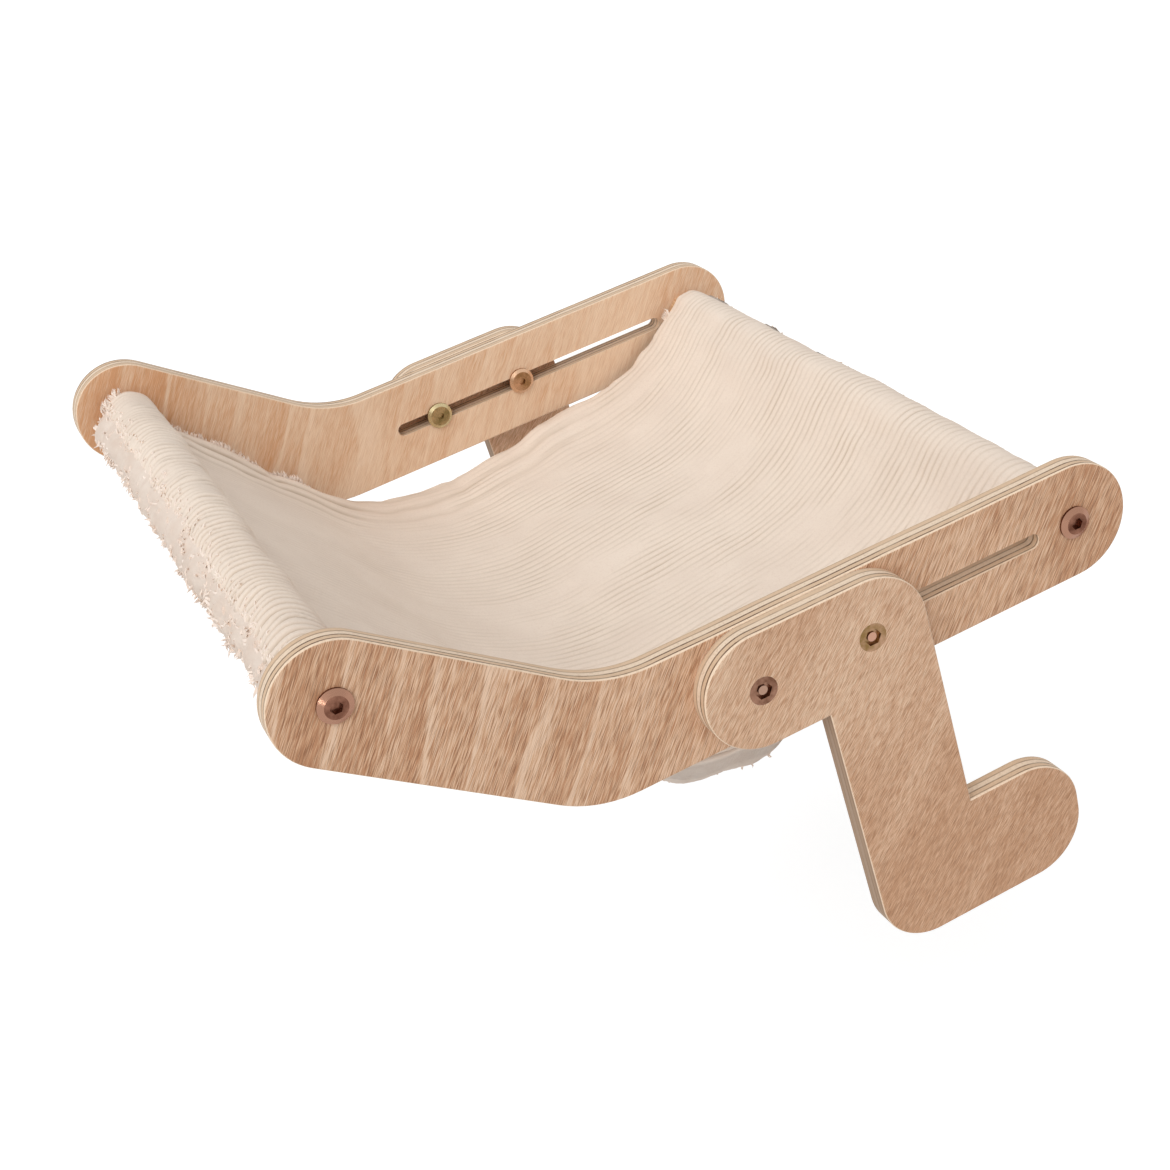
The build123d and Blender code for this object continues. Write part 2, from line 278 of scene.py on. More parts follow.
    # The face starts where the rounded edge has turned most of the way
    facing = node(material, "MapRange", {
        "Value": node(material, "Math", {0: normal.outputs["Y"]}, operation="ABSOLUTE"),
        "From Min": 0.72, "From Max": 0.90,
    })
    height = node(material, "Math", {
        0: node(material, "Math", {0: veneer["strokes"], 1: pore_lines}, operation="SUBTRACT"), 1: facing,
    }, operation="MULTIPLY")
    feed(material, shader, {
        "Base Color": node(material, "Mix", {"Factor": facing, "A": edge, "B": face}, data_type="RGBA"),
        "Roughness": node(material, "MapRange", {
            "Value": veneer["strokes"], "To Min": 0.52, "To Max": 0.72,
        }),
        "Specular IOR Level": 0.3,
        "Normal": node(material, "Bump", {"Height": height, "Strength": 0.5, "Distance": 0.0003}),
    })
    return material


def paint(names, material):
    """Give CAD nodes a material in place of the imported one."""
    for name in names:
        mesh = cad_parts[name].data
        mesh.materials.clear()
        mesh.materials.append(material)


inner_board_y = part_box("left_side_board")[0].y
outer_board_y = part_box("left_side_board")[1].y
board_veneer = {
    "inner_y": inner_board_y, "thickness": outer_board_y - inner_board_y,
    "grain": np.radians(54), "figure": np.radians(60), "band": 0.0230, "band_place": (0, 0, 0),
    "wander": 0.9, "leg_edge_shade": 0.0,
}
paint(["right_side_board"], plywood(
    "sanded_plywood_pink_veneer", band_share=0.56, streak_share=0.26, calm=0.20,
    stroke=(0.0080, 0.003, 0.00026), stroke_share=0.35,
    darker=[("X", -0.20, -0.28, 0.30), ("X", 0.04, 0.13, 0.26)],
    colours=("#E9C8AC", "#D8AF8D", "#BA8764", "#8B5F42"), **board_veneer,
))
# The left-hand board's veneer is calmer and paler: partly its own paler veneer, partly painted light
# standing in for the brighter light that falls on its inner face
paint(["left_side_board"], plywood(
    "sanded_plywood_pale_pink_veneer_painted_lighter", band_share=0.24, streak_share=0.20, calm=0.55,
    stroke=(0.0070, 0.003, 0.00036), stroke_share=0.11,
    darker=[("X", -0.15, -0.27, 0.34), ("X", 0.04, 0.13, 0.22)],
    colours=("#F5DDC6", "#E9CBAE", "#D39E74", "#B98C6A"), **board_veneer,
))


# Hook brackets: sawn from the same 12 mm plywood, with a calmer, yellower face veneer that has
# short slanting strokes. Each lies flat on its board's outer face, held by its two bolts.
outer_hook_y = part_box("left_hook_bracket")[1].y
# The hooks get the painted shade on their legs' edges at a strength of 0.8; the boards get none
paint(["right_hook_bracket", "left_hook_bracket"], plywood(
    "sanded_plywood_tan_veneer", outer_board_y, outer_hook_y - outer_board_y,
    grain=np.radians(46), figure=np.radians(54), band=-0.060, band_place=(0.019, 0, -0.1114),
    band_share=0.16, wander=0.15, streak_share=0.05, calm=1.0, stroke=(0.0046, 0.003, 0.00026),
    stroke_share=0.28, darker=[("Z", 0.0, -0.10, 0.26)], leg_edge_shade=0.8,
    colours=("#E8CBAE", "#D8B091", "#BE906E", "#976B4B"),
))


# Dowels: turned beech rods between the boards, hidden in the cloth but for the few millimetres next
# to each board. The wood is pale, with flecks along the rod.
beech, beech_shader = new_material("turned_beech")
beech_fleck = (0.0009, 0.009, 0.0009)
beech_flecks = node(beech, "TexNoise", {
    "Vector": node(beech, "Mapping", {
        "Vector": node(beech, "TexCoord").outputs["Object"], "Scale": beech_fleck,
    }, vector_type="TEXTURE"),
    "Scale": 1.0, "Detail": 2.0,
})
feed(beech, beech_shader, {
    "Base Color": node(beech, "ValToRGB", {"Fac": beech_flecks}, stops=[
        (0.3, "#B98B62"), (0.7, "#DDBB93"),
    ]),
    "Roughness": 0.6,
    "Normal": node(beech, "Bump", {"Height": beech_flecks, "Strength": 0.3, "Distance": 0.0002}),
})
paint(["front_rod", "rear_rod"], beech)


# Rod screws and hook bolts: socket heads of steel with aged copper plating, brighter in patches, with
# a painted highlight on the screws' bevels and on the pins in the bolts' sockets. The screws' flanged
# heads stand on the boards, the bolts' heads lie flush in the hooks.
def plated(name, dark, pale, highlight_colour, roughness, patch, pin_y=None):
    """Plated metal: two tones of the plating in soft patches of a real size, fine scratches, and a
    painted highlight in a paler colour: on a head's bevel, which leans 30 degrees, or on the pin's end
    at a given distance from the middle plane."""
    material, shader = new_material(name)
    place = node(material, "TexCoord")
    coords = place.outputs["Object"]
    facing = node(material, "Math", {
        0: node(material, "SeparateXYZ", {"Vector": place.outputs["Normal"]}).outputs["Y"],
    }, operation="ABSOLUTE")
    patches = node(material, "TexNoise", {
        "Vector": coords, "Scale": 1 / patch, "Detail": 3.0, "Roughness": 0.65,
    })
    scratch = (0.0009, 0.004, 0.0002)
    scratches = node(material, "TexNoise", {
        "Vector": node(material, "Mapping", {
            "Vector": coords, "Scale": scratch,
        }, vector_type="TEXTURE"),
        "Scale": 1.0, "Detail": 2.0,
    })
    # Painted highlight: faces that lean about 30 degrees, or the pins' ends, take the paler highlight
    # colour
    bevel_facing, bevel_spread, pin_spread = 0.86, 0.06, 0.0003
    painted_highlight = node(material, "Math", {
        0: facing, 1: bevel_facing, 2: bevel_spread,
    }, operation="COMPARE")
    if pin_y is not None:
        height = node(material, "Math", {
            0: node(material, "SeparateXYZ", {"Vector": coords}).outputs["Y"],
        }, operation="ABSOLUTE")
        painted_highlight = node(material, "Math", {
            0: node(material, "Math", {0: height, 1: pin_y, 2: pin_spread}, operation="COMPARE"),
            1: node(material, "Math", {0: facing, 1: 0.9}, operation="GREATER_THAN"),
        }, operation="MULTIPLY")
    colour = node(material, "Mix", {
        "Factor": painted_highlight,
        "A": node(material, "ValToRGB", {"Fac": patches}, stops=[(0.35, dark), (0.65, pale)]),
        "B": linear(highlight_colour),
    }, data_type="RGBA")
    feed(material, shader, {
        "Base Color": colour,
        "Metallic": 1.0,
        "Roughness": node(material, "MapRange", {
            "Value": scratches, "To Min": roughness - 0.08, "To Max": roughness + 0.10,
        }),
        "Normal": node(material, "Bump", {"Height": scratches, "Strength": 0.15, "Distance": 0.0001}),
    })
    return material


sides = ("right", "left")
ends = ("front", "rear")
# The last colour of each plating is its painted highlight
copper = plated("aged_copper_plating", "#623E30", "#8E6452", "#A67C67", 0.24, 0.006)
paint([f"{side}_{end}_rod_screw" for side, end in product(sides, ends)], copper)
# The pins end a little below the hooks' outer faces, and their ends get the painted highlight
pin_drop = 0.0007
pin_y = outer_hook_y - pin_drop
brown_copper = plated("aged_brown_copper_plating", "#6F4D3C", "#9E7763", "#A98774", 0.30, 0.006, pin_y)
paint([f"{side}_front_hook_bolt" for side in sides], brown_copper)
olive_copper = plated("aged_olive_copper_plating", "#866A42", "#B28D72", "#BF937E", 0.30, 0.005, pin_y)
paint([f"{side}_rear_hook_bolt" for side in sides], olive_copper)


# Sleeve nuts: steel with yellow zinc plating, whose film turned greenish on the front nuts and pink
# on the rear ones. The flange slides on the board's inner face and the barrel runs in the slot.
# The nuts' last colours are painted highlights on their faces that lean about 30 degrees
green_zinc = plated("greenish_zinc_plating", "#85764F", "#B49B74", "#C9B88F", 0.27, 0.008)
paint([f"{side}_front_sleeve_nut" for side in sides], green_zinc)
pink_zinc = plated("pinkish_zinc_plating", "#9A7753", "#C69C7C", "#D6AF8F", 0.27, 0.008)
paint([f"{side}_rear_sleeve_nut" for side in sides], pink_zinc)


# Rod inserts: short threaded sleeves turned from brass, yellow and a little dull. They are glued into
# the dowels' ends, take the rod screws and are hidden behind the boards.
brass = plated("turned_brass", "#A88347", "#C9A864", "#C9A864", 0.35, 0.004)
paint([f"{side}_{end}_rod_insert" for side, end in product(sides, ends)], brass)


# Ribbed seat cloth: a soft ivory knit with 5 mm ribs from dowel to dowel. It is sleeved over both
# dowels, stitched down behind the front one, and sags to the seat. Its free edges ripple.
MM = 0.001
front_low, front_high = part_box("front_rod")
rear_low, rear_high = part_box("rear_rod")
front_axis = np.array([(front_low.x + front_high.x) / 2, (front_low.z + front_high.z) / 2])
rear_axis = np.array([(rear_low.x + rear_high.x) / 2, (rear_low.z + rear_high.z) / 2])
half_cloth = inner_board_y - 5.0 * MM
rod_wrap = (front_high.x - front_low.x) / 2 + 0.3 * MM
layer_gap = 0.1 * MM
cloth_thickness = 3.5 * MM
middle_sag = 4.0 * MM
cloth_columns, cloth_row_count, back_columns = 577, 164, 9
rib_pitch = 4.9 * MM
rib_height = 0.75 * MM
front_stitch = 19.0 * MM
crease_round = 5.0 * MM
front_round = 114.0 * MM
rear_round = 104.0 * MM
# Angles of the seams round the dowels' axes, in degrees, at the near and at the far edge
front_seams, rear_seams = (158.0, 150.0), (10.0, 28.0)


def unit(vector):
    """A vector, or each of an array of vectors, divided by its length."""
    return vector / np.linalg.norm(vector, axis=-1, keepdims=True)


def turned(vector, degrees):
    """A plane vector turned counter-clockwise."""
    c, s = np.cos(np.radians(degrees)), np.sin(np.radians(degrees))
    return np.array([c * vector[0] - s * vector[1], s * vector[0] + c * vector[1]])


def touch(centre, radius, point, turn):
    """Where a straight line from the point touches a circle, counter-clockwise of it for turn 1: the
    way to the point turned by the arc cosine of the radius over the distance."""
    reach = point - centre
    swing = np.degrees(np.arccos(radius / np.linalg.norm(reach)))
    return centre + radius * turned(unit(reach), turn * swing)


def moved_aside(corners, shift):
    """The corners of a chain of runs moved to the left of its travel, kept parallel to the runs: each
    by the sum of its two runs' sides over one plus their dot product."""
    sides = [turned(unit(b - a), 90) for a, b in zip(corners, corners[1:])]
    inner = [
        corner + (before + after) * shift / (1 + before @ after)
        for corner, before, after in zip(corners[1:-1], sides, sides[1:])
    ]
    return [corners[0] + sides[0] * shift, *inner, corners[-1] + sides[-1] * shift]


def arc(centre, start, sweep, count):
    """Points on a circle round the centre, from the start point through a sweep in degrees."""
    angles = np.radians(np.linspace(0, sweep, count))
    reach = start - centre
    return centre + np.stack([
        reach[0] * np.cos(angles) - reach[1] * np.sin(angles),
        reach[0] * np.sin(angles) + reach[1] * np.cos(angles),
    ], 1)


def rounded(corners, radii, counts):
    """Points along straight runs whose inner corners are arcs of the given radii. An arc starts before
    its corner by the radius times the tangent of half the turn. Counts are the points of run, arc,
    run, arc and so on to the last run."""
    counts = list(counts)
    here, pieces = corners[0], []
    for before, corner, after, radius in zip(corners, corners[1:], corners[2:], radii):
        way_in, way_out = unit(corner - before), unit(after - corner)
        turn = np.degrees(np.arctan2(way_in[0] * way_out[1] - way_in[1] * way_out[0], way_in @ way_out))
        trim = radius * np.tan(np.radians(abs(turn)) / 2)
        start = corner - way_in * trim
        pieces.append(np.linspace(here, start, counts.pop(0), endpoint=False))
        centre = start + turned(way_in, 90 * np.sign(turn)) * radius
        points = arc(centre, start, turn, counts.pop(0))
        pieces.append(points[:-1])
        here = points[-1]
    pieces.append(np.linspace(here, corners[-1], counts.pop(0)))
    return np.concatenate(pieces)


def seat_line(extra_sag):
    """Stitch behind the front dowel and the two corners of the sagging line between the layers, which
    lie at a share of the way from dowel to dowel and at a depth below the rear one."""
    span = rear_axis[0] - front_axis[0]
    corners = [
        np.array([front_axis[0] + share * span, rear_axis[1] - depth - extra_sag])
        for share, depth in ((0.339, 51.0 * MM), (0.85, 33.5 * MM))
    ]
    return [front_axis + unit(corners[0] - front_axis) * front_stitch, *corners]


def upper_path(shift, extra_sag, seam):
    """One face of the ribbed cloth from its front seam, over the dowel, along the seat and over the
    rear dowel to its rear seam. The seam goes from its near angle at 0 to its far angle at 1."""
    line = seat_line(extra_sag)
    corners = moved_aside([
        touch(front_axis, rod_wrap, line[0], 1), *line, touch(rear_axis, rod_wrap, line[-1], -1),
    ], shift)
    radii = [crease_round - shift, front_round - shift, rear_round - shift]
    middle = rounded(corners, radii, [8, 20, 60, 100, 40, 80, 30])
    first, last = middle[0] - front_axis, middle[-1] - rear_axis
    front_sweep = (np.interp(seam, (0, 1), front_seams) - np.degrees(np.arctan2(first[1], first[0]))) % 360
    rear_sweep = (np.degrees(np.arctan2(last[1], last[0])) - np.interp(seam, (0, 1), rear_seams)) % 360
    front_wrap = arc(front_axis, middle[0], front_sweep, 60)[:0:-1]
    rear_wrap = arc(rear_axis, middle[-1], -rear_sweep, 60)[1:]
    return np.concatenate([front_wrap, middle, rear_wrap])


def run_length(path):
    """Distance along a path at each of its points."""
    return np.concatenate([[0], np.cumsum(np.linalg.norm(np.diff(path, axis=0), axis=1))])


def even_rows(path, count):
    """Fractional places in a path's list of points that lie at even distances along it."""
    run = run_length(path)
    return np.interp(np.linspace(0, run[-1], count), run, np.arange(len(run)))


def at_rows(path, rows):
    """Points of a path at fractional places in its list."""
    low = np.minimum(rows.astype(int), len(path) - 2)
    share = (rows - low)[:, None]
    return path[low] * (1 - share) + path[low + 1] * share


def ease(value, low, high):
    """0 below low, 1 above high and between them three squares less two cubes of the share."""
    t = np.clip((value - low) / (high - low), 0, 1)
    return t * t * (3 - 2 * t)


def smooth_noise(u, v, seed):
    """Random heights from -1 to 1 on a unit lattice, mixed between its four nearest points by three
    squares less two cubes of the way from one to the next."""
    table = np.random.default_rng(seed).uniform(-1, 1, (64, 64))
    iu, iv = np.floor(u).astype(int), np.floor(v).astype(int)
    fu, fv = u - iu, v - iv
    fu, fv = fu * fu * (3 - 2 * fu), fv * fv * (3 - 2 * fv)
    near = table[iu % 64, iv % 64] * (1 - fv) + table[iu % 64, (iv + 1) % 64] * fv
    far = table[(iu + 1) % 64, iv % 64] * (1 - fv) + table[(iu + 1) % 64, (iv + 1) % 64] * fv
    return near * (1 - fu) + far * fu


def seam_turn(ys):
    """Share of the seams' way from the near to the far angle: even over the width, plus noise that
    makes the seams ragged."""
    ragged = 0.30 * smooth_noise(ys / 0.019, 0 * ys, 51), 0.22 * smooth_noise(ys / 0.006, 0 * ys, 52)
    return 0.5 + 0.5 * ys / half_cloth + ragged[0] + ragged[1]


# Rise in mm of the real cloth's free edges over an even sag, at places in mm along X: the far edge
# stands up on the rear slope; the near one is drawn up but for one fold of the fleece under it
far_x = [
    -235, -223, -206, -197, -194, -189, -174, -160, -133, -115, -99, -89, -82, -64, -42, -28, -12, 11,
    40, 61, 75,
]
far_rise = [-1, -1, -2, -1.5, -4, -2, -1.5, 0, 0, 2.6, 2.4, 0.8, 2.4, 2.9, 3.4, 7.2, 8.5, 7.0, 4.2, 2.3, 0]
near_x = [-165, -150, -136, -128, -120, -109, -101, -94, -86, -78, -72, -66, -54, -43, -30]
cloth_near_rise = [0, 4, 8, 9, 8, 6, 5, 4, 3.5, 3, 3, 3, 2.5, 1.5, 0]
fleece_near_rise = [0, 4, 12, 15, 10, 5, 2, -0.5, -2.6, -3.0, 1.0, 4, 3, 1.5, 0]
far_reach, near_reach = 0.026, 0.034


def across(path, shift, ys, rows, near_rise):
    """Surface over a row of cross positions. Its path follows the ragged seams, bulges from the
    edge's sag to the middle's by one minus the square of the distance from the middle, and near the
    free edges it rises by the heights above, by a bell of the distance from the edge."""
    middle = (1 - (ys / half_cloth) ** 2)[None, :, None]
    turn = seam_turn(ys)[None, :, None]
    edge_path, far_edge_path, middle_path, far_middle_path = (
        at_rows(path(shift, sag, seam), rows)[:, None] for sag, seam in product((0, middle_sag), (0, 1))
    )
    flat = (edge_path * (1 - turn) + far_edge_path * turn) * (1 - middle)
    flat = flat + (middle_path * (1 - turn) + far_middle_path * turn) * middle
    x, z = flat[..., 0], flat[..., 1]
    low = ease(-z, -0.070, -0.045)
    for places, rises, from_edge, reach in (
        (far_x, far_rise, half_cloth - ys, far_reach), (near_x, near_rise, half_cloth + ys, near_reach),
    ):
        rise = np.interp(x, np.array(places) * MM, np.array(rises) * MM)
        z = z + rise * low * np.exp(-((from_edge / reach) ** 2))
    return np.stack([x, np.broadcast_to(ys, x.shape), z], -1)


def rolled_rim(face, back, hem, share):
    """A face whose side rims are drawn towards the back: within the hem, by the share of the
    thickness times one minus the root of one minus the squared depth into the hem."""
    ys = face[0, :, 1]
    depth = np.clip(1 - (half_cloth - np.abs(ys)) / hem, 0, 1)
    pull = (share * (1 - np.sqrt(1 - depth**2)))[None, :, None]
    way = np.where(ys[None, :, None] < 0, back[:, :1] - face[:, :1], back[:, -1:] - face[:, -1:])
    return face + pull * way * np.array([1, 0, 1])


def normals_of(surface):
    """Unit normals of a grid: the cross product of its two directions."""
    return unit(np.cross(np.gradient(surface, axis=0), np.gradient(surface, axis=1)))


def add_piece(name, vertices, faces, material, valleys=None, smooth=True):
    """A mesh object, smooth-shaded or not, with the painted shade of its valleys per vertex if given."""
    mesh = bpy.data.meshes.new(name)
    mesh.from_pydata(vertices, [], faces)
    mesh.polygons.foreach_set("use_smooth", np.full(len(mesh.polygons), smooth))
    if valleys is not None:
        darkness = mesh.attributes.new("crease_shade", "FLOAT", "POINT").data
        darkness.foreach_set("value", valleys.astype(np.float32))
    mesh.materials.append(material)
    mesh.update()
    piece = bpy.data.objects.new(name, mesh)
    bpy.context.scene.collection.objects.link(piece)
    return piece


def closed_sheet(name, outer, inner, material, valleys):
    """A cloth from its outer face, a fine grid, and its inner face, a grid with as many rows and
    fewer columns. The sides are strips and the two ends are single faces, so it is closed."""
    rows, columns = outer.shape[:2]
    few = inner.shape[1]
    o = np.arange(rows * columns).reshape(rows, columns)
    i = np.arange(rows * few).reshape(rows, few) + rows * columns
    grids = [
        np.stack([o[:-1, :-1], o[1:, :-1], o[1:, 1:], o[:-1, 1:]], -1),
        np.stack([i[:-1, :-1], i[:-1, 1:], i[1:, 1:], i[1:, :-1]], -1),
        np.stack([o[:-1, 0], i[:-1, 0], i[1:, 0], o[1:, 0]], -1),
        np.stack([o[:-1, -1], o[1:, -1], i[1:, -1], i[:-1, -1]], -1),
    ]
    faces = [face for grid in grids for face in grid.reshape(-1, 4).tolist()]
    faces.append([*o[0].tolist(), *i[0, ::-1].tolist()])
    faces.append([*o[-1, ::-1].tolist(), *i[-1].tolist()])
    vertices = np.concatenate([outer.reshape(-1, 3), inner.reshape(-1, 3)])
    valleys = np.concatenate([valleys.ravel(), np.zeros(rows * few)])
    return add_piece(name, vertices, faces, material, valleys)


outer_shift = layer_gap + cloth_thickness
cloth_y = np.linspace(-half_cloth, half_cloth, cloth_columns)
few_y = np.linspace(-half_cloth, half_cloth, back_columns)
cloth_rows = even_rows(upper_path(outer_shift, 0, 0), cloth_row_count)
upper_face = across(upper_path, outer_shift - rib_height / 2, cloth_y, cloth_rows, cloth_near_rise)
lower_face = across(upper_path, layer_gap, few_y, cloth_rows, cloth_near_rise)
along = run_length(at_rows(upper_path(outer_shift, 0, 0), cloth_rows))[:, None]
whole = along[-1, 0]
from_left = half_cloth - cloth_y[None, :]
from_right = half_cloth + cloth_y[None, :]

# Parts of the cloth, by the distance along it from the front seam
front_roll = 1 - ease(along, 0.040, 0.056)
rear_roll = ease(along, whole - 0.070, whole - 0.040)
slope = ease(along, 0.050, 0.064) * (1 - ease(along, 0.150, 0.185))
rear_seat = ease(along, 0.185, 0.250)


def with_waves(field, layers):
    """A field over the cloth plus noises. Each has a height in mm, the size of its waves along and
    across the cloth, a shift across it, a seed and a share by place."""
    for height, size_along, size_across, shift, seed, share in layers:
        waves = smooth_noise(along / size_along, cloth_y / size_across + shift, seed)
        field = field + height * MM * share * waves
    return field


def long_folds(distance, pitch, seed):
    """Ridge from 0 to 1: the absolute sine of the distance over the pitch, wandering. The ridges run
    along the free edge, rounded, with narrow valleys between them."""
    return np.abs(np.sin(np.pi * (
        distance / pitch + 0.30 * smooth_noise(along / 0.045, distance / 0.030, seed)
        + 0.10 * smooth_noise(along / 0.012, distance / 0.020, seed + 1)
    )))


# Long folds along the free edges, strongest on the front slope, and how far they reach in
far_fold_reach, near_fold_reach, far_pitch, near_pitch = 0.040, 0.036, 0.0155, 0.0120
far_share = np.exp(-((from_left / far_fold_reach) ** 4))
far_share = far_share * (slope + (1 - slope) * 0.16 * ease(along, 0.060, 0.070))
far_share = far_share * (1 - 0.75 * ease(along, 0.300, 0.360))
far_share = far_share * (0.85 + 0.35 * smooth_noise(along / 0.030, from_left / 0.030, 61))
near_share = 0.8 * np.exp(-((from_right / near_fold_reach) ** 2)) * slope
far_folds = long_folds(from_left, far_pitch, 62)
near_folds = long_folds(from_right, near_pitch, 64)

# Ribs wander a little, stand up on the rolls and the rear half and fade out in patches elsewhere
wander = with_waves(0.0, (
    (1.5, 0.060, 0.045, 7, 1, 1.0), (0.8, 0.018, 0.016, 3, 2, 1.0), (2.2, 0.011, 0.009, 3, 8, front_roll),
))
rib_phase = (cloth_y[None, :] + wander) / rib_pitch
ridge = np.abs(np.sin(np.pi * rib_phase))
patchy = smooth_noise(along / 0.036, cloth_y / 0.016, 3)
patchy = patchy + 0.8 * smooth_noise(along / 0.013, cloth_y / 0.009, 9)
near_end = ease(-cloth_y[None, :], -0.110, 0.050)
strength = 0.12 + 0.26 * rear_seat + 0.10 * rear_roll + front_roll * (0.32 + 0.40 * near_end)
strength = np.clip(strength + (0.18 + 0.20 * rear_seat + 0.52 * front_roll) * patchy, 0.0, 1.0)
strength = strength * (1 - np.clip(0.9 * far_share + 0.8 * near_share, 0, 0.9))
relief = rib_height * (1 - (1 - ridge) ** 1.7 - 0.5) * strength * (1.2 + 0.9 * front_roll)
far_fold_height, near_fold_height = 5.0 * MM, 1.8 * MM
relief = relief + far_fold_height * (far_folds - 0.5) * far_share
relief = relief + near_fold_height * (near_folds - 0.6) * near_share
# Painted shade: a darkness from 0 to 1 in the valleys between ribs and folds, where shade lies, that the
# knit turns brown
valleys = (0.55 + 0.10 * front_roll) * (1 - ridge) ** 2.5 * strength
valleys = valleys + 0.4 * (1 - near_folds) ** 2 * near_share
valleys = np.clip(valleys + 1.8 * np.clip(0.80 - far_folds, 0, 1) * far_share, 0, 1)

# Scalloped far edge, slow waves of the whole cloth and short ones on the rolls
scallop_height, scallop_reach = 1.5 * MM, 6 * MM
scallop = smooth_noise(along / 0.011, 0 * cloth_y + 2.5, 6)
scallop = scallop + 0.5 * smooth_noise(along / 0.005, 0 * cloth_y + 4.5, 66)
scallop = scallop * np.exp(-((from_left / scallop_reach) ** 2)) * ease(along, 0.045, 0.060)
relief = relief + scallop_height * scallop
relief = with_waves(relief, (
    (0.9, 0.050, 0.055, 11, 7, 1.0), (0.4, 0.014, 0.020, 11, 71, 1.0),
    (0.7, 0.009, 0.028, 2, 72, front_roll + rear_roll), (0.5, 0.016, 0.007, 4, 73, front_roll),
))
cloth_normals = normals_of(upper_face)
upper_face = upper_face + cloth_normals * relief[..., None]
cloth_hem = 2.2 * MM
upper_face = rolled_rim(upper_face, lower_face, cloth_hem, 0.75)

# Ivory cotton knit with a brushed face: quite matt, a little uneven in tone and darker where its
# short fibres part. Shade is painted brownish into the valleys between ribs and folds
knit, knit_shader = new_material("ivory_rib_knit")
knit_coords = node(knit, "TexCoord").outputs["Object"]
crease_shade = node(knit, "Attribute", attribute_name="crease_shade").outputs["Fac"]
patch_size, fibre_size = 0.045, 0.0012
knit_patches = node(knit, "TexNoise", {
    "Vector": knit_coords, "Scale": 1 / patch_size, "Detail": 3.0, "Roughness": 0.6,
})
knit_fibres = node(knit, "TexNoise", {
    "Vector": knit_coords, "Scale": 1 / fibre_size, "Detail": 3.0, "Roughness": 0.7,
})
knit_colour = node(knit, "ValToRGB", {"Fac": knit_patches}, stops=[(0.3, "#EADACB"), (0.7, "#F1E2D3")])
# Painted shade: brown mixed in by the valleys' painted darkness, deepest in the far folds
for low, high, share, colour in ((0.0, 0.55, 0.85, "#B5A088"), (0.5, 1.0, 0.6, "#968266")):
    knit_colour = node(knit, "Mix", {
        "Factor": node(knit, "MapRange", {
            "Value": crease_shade, "From Min": low, "From Max": high, "To Max": share,
        }),
        "A": knit_colour, "B": linear(colour),
    }, data_type="RGBA")
knit_shade = node(knit, "MapRange", {
    "Value": knit_fibres, "From Min": 0.5, "From Max": 0.75, "To Max": 0.35,
})
knit_colour = node(knit, "Mix", {
    "Factor": knit_shade, "A": knit_colour, "B": linear("#D9C3B2"),
}, data_type="RGBA")
feed(knit, knit_shader, {
    "Base Color": knit_colour,
    "Roughness": 0.92,
    "Specular IOR Level": 0.2,
    "Normal": node(knit, "Bump", {"Height": knit_fibres, "Strength": 0.35, "Distance": 0.0004}),
})
ribbed_cloth = closed_sheet("ribbed_cloth", upper_face, lower_face, knit, valleys)
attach(ribbed_cloth, "frame")
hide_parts("ribbed_seat_cloth")


# Fleece lining: curly white plush under the ribbed cloth, sewn to it along the outer sides of both
# rolls. It is thickest round the front dowel and droops below the seat in a soft fold.
lining_thickness = 5.0 * MM
roll_thickness = 9.0 * MM
fleece_columns, fleece_row_count = 262, 320
# Degrees by which it goes on under the ribbed cloth, and how far its outer face droops
overlap = 20.0
droop = np.array([11.0, -4.5]) * MM
droop_round = 40.0 * MM


def lining_path(outer, extra_sag, seam):
    """One face of the lining, the outer one for 1 and the inner one for 0, from its rear seam, under
    the rear dowel and the seat and round under the front dowel to its front seam."""
    line = seat_line(extra_sag)
    base = [touch(front_axis, rod_wrap, line[0], -1), *line, touch(rear_axis, rod_wrap, line[-1], 1)]
    if outer:
        under = moved_aside(base, -layer_gap - lining_thickness)[1:-1]
        under[0] = under[0] + unit(line[1] - line[0]) * roll_thickness
        under[1] = under[1] + droop
        corners = [
            touch(front_axis, rod_wrap + layer_gap + roll_thickness, under[0], -1), *under,
            touch(rear_axis, rod_wrap + layer_gap + lining_thickness, under[-1], 1),
        ]
        radii = [crease_round, droop_round, rear_round]
    else:
        corners = moved_aside(base, -layer_gap)
        radii = [crease_round + roll_thickness, front_round, rear_round]
    middle = rounded(corners, radii, [20, 20, 80, 60, 60, 60, 30])
    first, last = middle[0] - front_axis, middle[-1] - rear_axis
    front_sweep = np.degrees(np.arctan2(first[1], first[0])) - np.interp(seam, (0, 1), front_seams)
    front_sweep = (front_sweep + overlap) % 360
    rear_sweep = (np.interp(seam, (0, 1), rear_seams) - np.degrees(np.arctan2(last[1], last[0]))) % 360
    front_wrap = arc(front_axis, middle[0], -front_sweep, 80)[:0:-1]
    rear_wrap = arc(rear_axis, middle[-1], rear_sweep, 40)[1:]
    return np.concatenate([front_wrap, middle, rear_wrap])[::-1]


def tufts(u, v, seed):
    """Rounded bumps from 0 to 1, one round a random point in each cell of a unit lattice: one less
    1.3 times the squared distance to the nearest point."""
    places = np.random.default_rng(seed).uniform(0.15, 0.85, (64, 64, 2))
    iu, iv = np.floor(u).astype(int), np.floor(v).astype(int)
    nearest = np.full(np.broadcast(u, v).shape, 9.0)
    for du, dv in product((-1, 0, 1), repeat=2):
        place = places[(iu + du) % 64, (iv + dv) % 64]
        distance = (iu + du + place[..., 0] - u) ** 2 + (iv + dv + place[..., 1] - v) ** 2
        nearest = np.minimum(nearest, distance)
    return np.clip(1 - 1.3 * nearest, 0, 1)


def soften_shading(piece, smooth_normals, share):
    """Turn the shading of a piece's first vertices towards the normals of the smooth surface, by the
    given share, because light that goes into the pile comes out again between the curls."""
    flat = smooth_normals.reshape(-1, 3)
    own = np.array([vertex.normal for vertex in piece.data.vertices])
    own[: len(flat)] = unit(own[: len(flat)] * (1 - share) + flat * share)
    piece.data.normals_split_custom_set_from_vertices(own)


